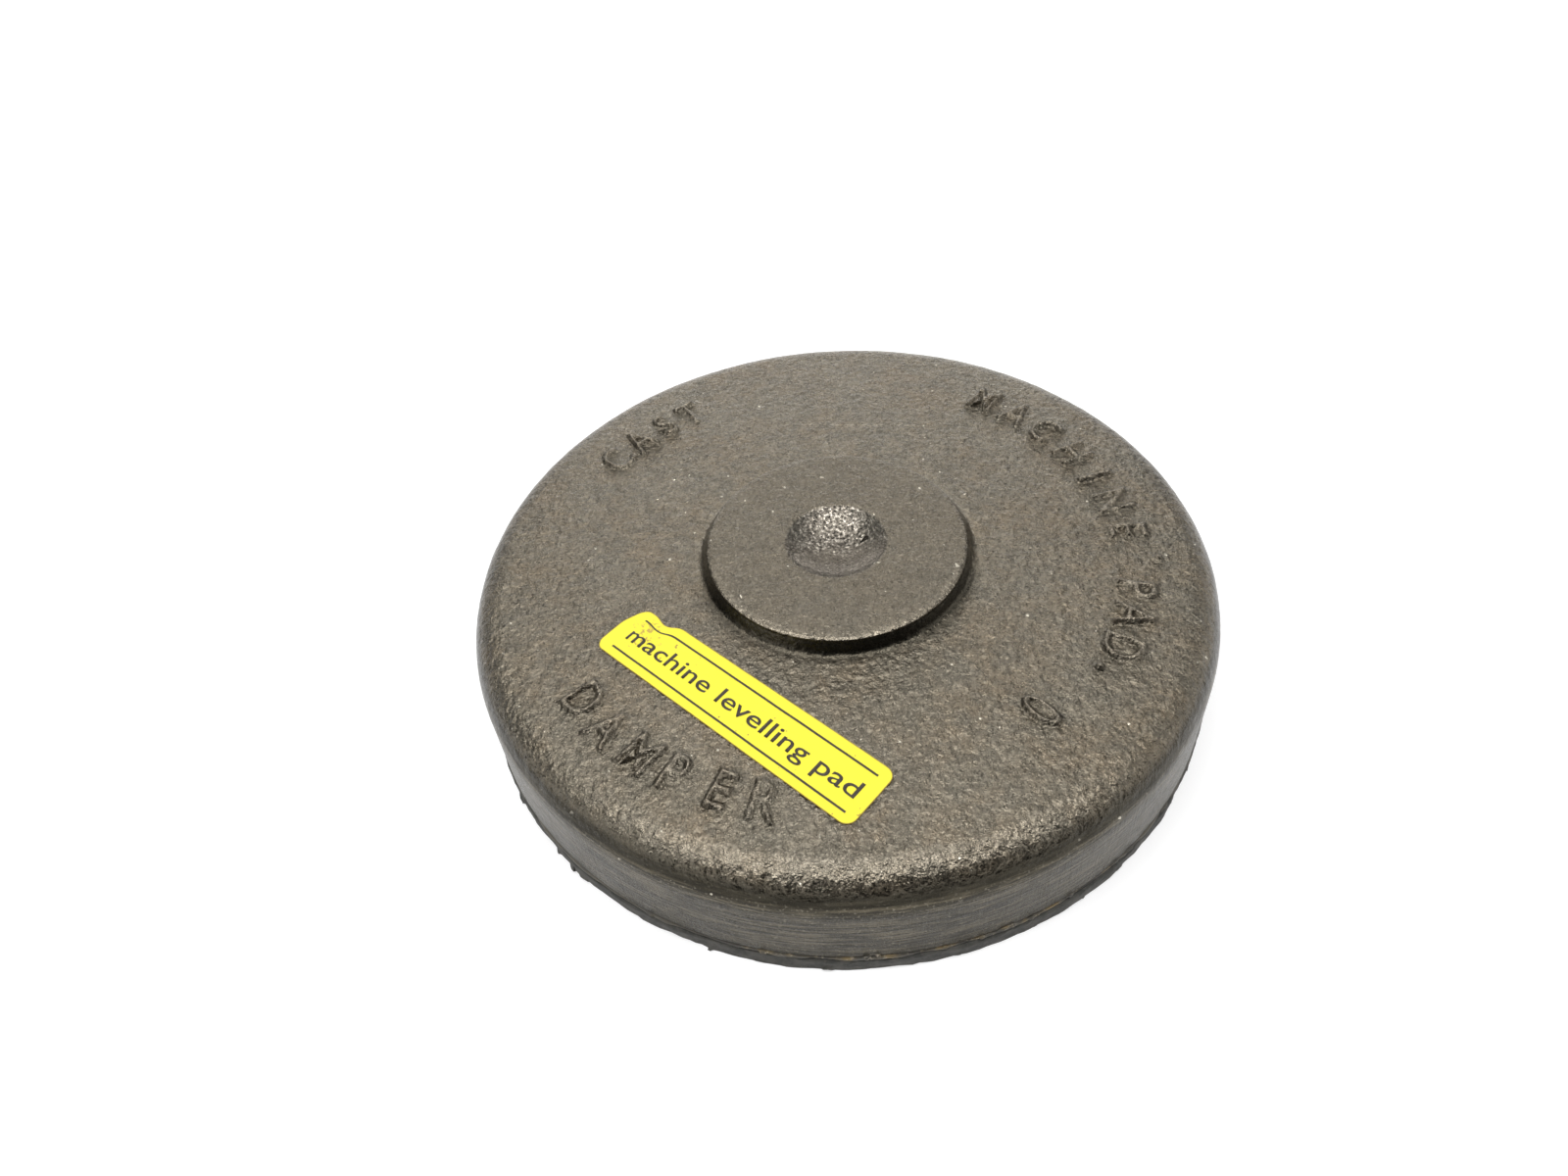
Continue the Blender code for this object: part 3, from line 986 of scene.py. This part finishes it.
# glue squeezed out of the seam
glue = {
    "bead": 0.50 * mm,
    "inset": 0.35 * mm,
    "steps": 720,
    "sides": 10,
    # lumps along the seam: angle in degrees, then length, height and lift in millimetres
    "lumps": (
        (-102.0, 1.6, 0.5, 0.0), (-88.6, 1.5, 0.9, 0.5), (-87.2, 0.9, 0.7, 0.9), (-84.8, 0.7, 1.6, -0.6),
        (-78.5, 1.2, 0.5, 0.3), (-73.0, 3.6, 0.7, 0.3), (-69.8, 4.6, 0.8, 0.5), (-66.4, 3.0, 0.6, 0.3),
        (-60.5, 1.6, 0.9, 0.8), (-52.6, 2.0, 0.8, 0.6), (-49.5, 3.4, 0.7, 0.4), (-41.0, 3.0, 0.5, 0.3),
        (-118.0, 2.2, 0.4, 0.1), (-139.0, 2.0, 0.4, 0.1), (25.0, 2.6, 0.6, 0.3), (71.0, 1.8, 0.7, 0.4),
        (128.0, 3.2, 0.6, 0.3), (176.0, 2.0, 0.6, 0.4),
    ),
}


def glueFinish():
    shade = Shade("driedGlue")
    x, y, _ = shade.split()
    patch = shade.noise(4 * mm, 2.0, 0.5)
    fine = shade.noise(0.7 * mm, 2.0, 0.6, seed=1.0)
    front = (1 - shade.step(y, -70 * mm, -58 * mm)) * shade.step(x, -24 * mm, -14 * mm)
    tone = shade.mix(shade.step(patch, 0.35, 0.6) * 0.6, (0.060, 0.056, 0.046), (0.115, 0.100, 0.070))
    tone = shade.mix(shade.step(patch, 0.46, 0.62) * front, tone, (0.19, 0.14, 0.065))
    tone = shade.mix(shade.step(fine, 0.52, 0.74, 0.0, 0.7) * front, tone, (0.42, 0.36, 0.27))
    normal = shade.bump(fine, 0.2 * mm, 0.7)
    return shade.finish(tone, 0.55, normal)


def makeGlue():
    low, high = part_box("glue_line")
    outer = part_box("cap_casting")[1].x
    seam = (low.z + high.z) / 2
    deselectAll()
    bpy.ops.mesh.primitive_torus_add(
        major_segments=glue["steps"], minor_segments=glue["sides"],
        major_radius=outer - glue["inset"], minor_radius=glue["bead"], location=(0, 0, seam))
    bead = bpy.context.object
    settle(bead)
    roughened(bead, 6 * mm, 0.8 * mm)
    roughened(bead, 1.2 * mm, 0.35 * mm)
    parts = [bead]
    radius = outer - 0.1 * mm
    for angle, length, height, lift in glue["lumps"]:
        angle = math.radians(angle)
        deselectAll()
        bpy.ops.mesh.primitive_ico_sphere_add(
            subdivisions=4, radius=1, rotation=(0, 0, angle),
            location=(radius * math.cos(angle), radius * math.sin(angle), seam + lift * mm))
        lump = bpy.context.object
        lump.scale = (0.45 * mm, length / 2 * mm, height / 2 * mm)
        settle(lump)
        roughened(lump, 0.9 * mm, 0.5 * mm)
        parts.append(lump)
    piece = joined("glueBead", parts)
    piece.data.materials.append(glueFinish())
    smoothShaded(piece, 60)
    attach(piece, "root")
    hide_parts("glue_line")
    print("glue:", len(piece.data.polygons), "faces")


label = {
    "length": 64.3 * mm,
    "width": 13.3 * mm,
    "corner": 2.2 * mm,
    "angle": -41.1,
    "centre": (-20.0 * mm, -38.0 * mm),
    "hold": 3.0 * mm,
    "gap": 0.10 * mm,
    "thickness": 0.12 * mm,
    "border": 0.16 * mm,
    "scuff": (-24.5 * mm, 1.0 * mm),
    "pitch": 0.8 * mm,
    "words": "machine levelling pad",
    "textStart": -28.2 * mm,
    "textEnd": 28.9 * mm,
    "baseline": -1.9 * mm,
    "letterSize": 5.05 * mm,
    "bolder": 0.03 * mm,
    "lines": (4.2 * mm, -4.65 * mm),
    "lineStart": -28.6 * mm,
    "lineEnd": 29.8 * mm,
    "lineWidth": 0.42 * mm,
    "ink": 0.03 * mm,
    "inkGap": 0.01 * mm,
}


def labelPlace(shade):
    # the label's own frame: x along it, y across it
    values = {"Vector": shade.place, "Location": (*label["centre"], 0),
              "Rotation": (0, 0, math.radians(label["angle"]))}
    return shade.node("Mapping", {"vector_type": "TEXTURE"}, values)


def labelFinish():
    shade = Shade("labelVinyl")
    shade.place = labelPlace(shade)
    x, y, _ = shade.split()
    mottle = shade.noise(6 * mm, 2.0, 0.5)
    tone = shade.mix(mottle, (0.80, 0.72, 0.022), (0.77, 0.68, 0.018))
    # brown scuffs at the creased end, and specks all over
    away = ((x - label["scuff"][0]) ** 2 + (y - label["scuff"][1]) ** 2) ** 0.5
    creased = 1 - shade.step(away, 2.0 * mm, 6.0 * mm)
    scuff = shade.step(shade.noise(1.3 * mm, 3.0, 0.7, seed=2.0) + 0.10 * creased, 0.60, 0.68) * creased
    specks = shade.step(shade.noise(0.9 * mm, 1.0, 0.5, seed=5.0), 0.735, 0.76)
    tone = shade.mix(scuff * 0.75, tone, (0.34, 0.19, 0.06))
    tone = shade.mix(specks * 0.8, tone, (0.30, 0.17, 0.03))
    normal = shade.bump(shade.noise(1.5 * mm, 2.0, 0.5, seed=3.0), 0.04 * mm, 0.5)
    return shade.finish(tone, 0.42 + 0.2 * scuff, normal)


def edgeFinish():
    shade = Shade("labelEdge")
    shade.place = labelPlace(shade)
    grimeAndShade = shade.noise(1.2 * mm, 2.0, 0.6)
    tone = shade.mix(grimeAndShade, (0.16, 0.10, 0.02), (0.42, 0.30, 0.03))
    return shade.finish(tone, 0.7)


def inkFinish():
    shade = Shade("labelInk")
    shade.place = labelPlace(shade)
    thin = shade.step(shade.noise(0.5 * mm, 2.0, 0.6), 0.60, 0.80, 0.0, 0.5)
    tone = shade.mix(thin, (0.022, 0.014, 0.006), (0.16, 0.10, 0.015))
    return shade.finish(tone, 0.5)


def gridCut(piece, pitch):
    # straight cuts across the piece both ways, so that it can bend
    activate(piece)
    bpy.ops.object.mode_set(mode="EDIT")
    for size, direction in ((label["length"], Vector((1, 0, 0))), (label["width"], Vector((0, 1, 0)))):
        count = math.ceil(size / pitch)
        for i in range(1, count):
            bpy.ops.mesh.select_all(action="SELECT")
            bpy.ops.mesh.bisect(plane_co=direction * size * (i / count - 0.5), plane_no=direction)
    bpy.ops.object.mode_set(mode="OBJECT")


def pulled(place):
    # the creased end: the upper edge is drawn in, the end slants, a small fold stands up
    upper = smooth(place.y / (label["width"] / 2), 0.0, 1.0)
    beyond = -19.0 * mm - place.x
    drawnIn = 0.70 * smooth(beyond, 0, 4 * mm) + 0.75 * math.exp(-((beyond - 4.4 * mm) / (2.2 * mm)) ** 2)
    end = smooth(-place.x, 24 * mm, label["length"] / 2)
    fold = math.exp(-((place.x + 21.8 * mm - 0.25 * place.y) / (1.1 * mm)) ** 2)
    place.y -= drawnIn * upper * mm
    place.x += end * (1.2 + 1.3 * upper) * mm
    place.z += fold * upper * 0.22 * mm + 0.06 * mm * noise.noise(place / (7 * mm))


def held(piece, level):
    # turned to the label's place on the cap, above it
    piece.rotation_euler = (0, 0, math.radians(label["angle"]))
    piece.location = (*label["centre"], level)
    settle(piece)


def dropped(piece, target, gap):
    # laid straight down on the surface below
    applied(piece, "SHRINKWRAP", target=target, wrap_method="PROJECT", use_project_z=True,
            use_negative_direction=True, use_positive_direction=False, offset=gap)


def laidOnCap(piece, capPiece):
    # bent in its own frame, then laid on the cap with its waves kept
    for vertex in piece.data.vertices:
        pulled(vertex.co)
    piece.data.update()
    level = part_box("label")[0].z + label["hold"]
    held(piece, level)
    waves = [v.co.z - level for v in piece.data.vertices]
    dropped(piece, capPiece, label["gap"])
    applied(piece, "SMOOTH", iterations=6, factor=0.5, use_x=False, use_y=False)
    for vertex, wave in zip(piece.data.vertices, waves):
        vertex.co.z += wave


def makeLabel(capPiece):
    deselectAll()
    bpy.ops.mesh.primitive_plane_add(size=1, location=(0, 0, 0))
    piece = named("labelSheet")
    piece.scale = (label["length"], label["width"], 1)
    settle(piece)
    bpy.ops.object.mode_set(mode="EDIT")
    bpy.ops.mesh.select_all(action="SELECT")
    bpy.ops.mesh.bevel(offset=label["corner"], segments=8, affect="VERTICES")
    bpy.ops.mesh.select_all(action="SELECT")
    bpy.ops.mesh.inset(thickness=label["border"])
    bpy.ops.object.mode_set(mode="OBJECT")
    gridCut(piece, label["pitch"])
    piece.data.materials.append(labelFinish())
    piece.data.materials.append(edgeFinish())
    # the border is found from the rounded corners' centres
    corner = label["corner"] - label["border"]
    reach = label["length"] / 2 - label["corner"]
    across = label["width"] / 2 - label["corner"]
    for face in piece.data.polygons:
        over = Vector((max(0, abs(face.center.x) - reach), max(0, abs(face.center.y) - across)))
        face.material_index = 1 if over.length > corner else 0
    laidOnCap(piece, capPiece)
    applied(piece, "SOLIDIFY", thickness=label["thickness"], offset=1, material_offset_rim=1)
    smoothShaded(piece, 40)
    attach(piece, "root")
    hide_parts("label")
    print("label:", len(piece.data.polygons), "faces")
    return piece


def flatWords():
    # the words as a flat mesh, stretched to their length
    deselectAll()
    bpy.ops.object.text_add(location=(0, label["baseline"], 0))
    words = bpy.context.object
    words.data.body = label["words"]
    words.data.size = label["letterSize"]
    words.data.offset = label["bolder"]
    words.data.resolution_u = 5
    bpy.context.view_layer.update()
    words.scale.x = (label["textEnd"] - label["textStart"]) / words.dimensions.x
    words.location.x = label["textStart"]
    bpy.ops.object.convert(target="MESH")
    settle(bpy.context.object)
    return bpy.context.object


def flatLine(height):
    deselectAll()
    middle = (label["lineStart"] + label["lineEnd"]) / 2
    bpy.ops.mesh.primitive_plane_add(size=1, location=(middle, height, 0))
    line = bpy.context.object
    line.scale = (label["lineEnd"] - label["lineStart"], label["lineWidth"], 1)
    settle(line)
    return line


def makePrint(sheet):
    piece = joined("labelPrint", [flatWords(), *(flatLine(height) for height in label["lines"])])
    merged(piece, 0.005 * mm)
    gridCut(piece, label["pitch"])
    for vertex in piece.data.vertices:
        pulled(vertex.co)
        vertex.co.z = 0
    piece.data.update()
    held(piece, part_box("label")[1].z + label["hold"])
    dropped(piece, sheet, label["inkGap"])
    applied(piece, "SOLIDIFY", thickness=label["ink"], offset=1)
    piece.data.materials.append(inkFinish())
    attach(piece, "root")
    print("print:", len(piece.data.polygons), "faces")


def coreFinish():
    shade = Shade("coreRubber")
    cloud = shade.noise(3 * mm, 2.0, 0.5)
    tone = shade.mix(cloud, (0.020, 0.020, 0.020), (0.035, 0.034, 0.032))
    normal = shade.bump(shade.noise(0.8 * mm, 2.0, 0.5, seed=1.0), 0.1 * mm, 0.5)
    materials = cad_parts["damping_core"].data.materials
    materials.clear()
    materials.append(shade.finish(tone, 0.85, normal))


makeCamera()
makeFloor()
for name in studio["panels"]:
    panelLight(name)
makeWorld()
capPiece = makeCap()
makeSole()
makeGlue()
labelSheet = makeLabel(capPiece)
makePrint(labelSheet)
coreFinish()

print("pieces:", len(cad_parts), "CAD nodes stand behind the model")
